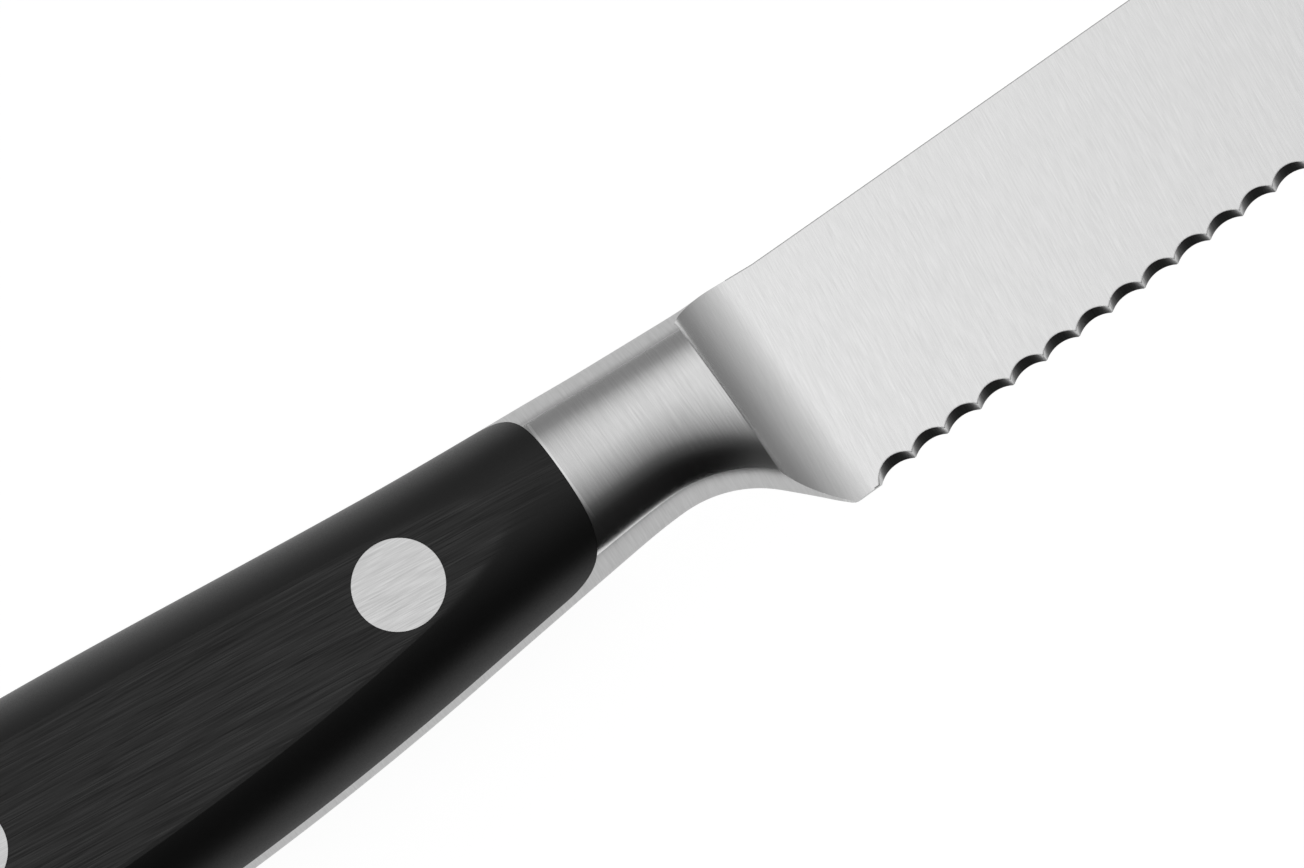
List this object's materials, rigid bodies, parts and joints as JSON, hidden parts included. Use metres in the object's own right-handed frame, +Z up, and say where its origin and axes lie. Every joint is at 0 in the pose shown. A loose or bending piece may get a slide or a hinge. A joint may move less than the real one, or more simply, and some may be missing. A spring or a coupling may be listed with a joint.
{
  "type": "steak knife",
  "caption": "Forged full-tang steak knife with a scalloped edge, an oval bolster and black handle scales held by round steel rivets, lying on its side.",
  "frame": {"origin": "under the centre of the knife's box, on the surface that it lies on", "axes": "+X from the butt to the tip, +Y towards the spine, +Z up out of the right side of the blade, where the scallops are ground"},
  "size_m": [0.2452, 0.0258, 0.012],
  "materials": {
    "blade_steel": "fine satin brushing across the blade",
    "scale_plastic": "satin black with faint lengthwise brushing",
    "rivet_steel": "ground flush, brushed along the handle"
  },
  "bodies": {
    "root": {"forged_blade": "blade_steel", "scale_right": "scale_plastic", "scale_left": "scale_plastic", "rivet_front_male": "rivet_steel", "rivet_front_female": "rivet_steel", "rivet_middle_male": "rivet_steel", "rivet_middle_female": "rivet_steel", "rivet_rear_male": "rivet_steel", "rivet_rear_female": "rivet_steel"}
  },
  "joints": []
}
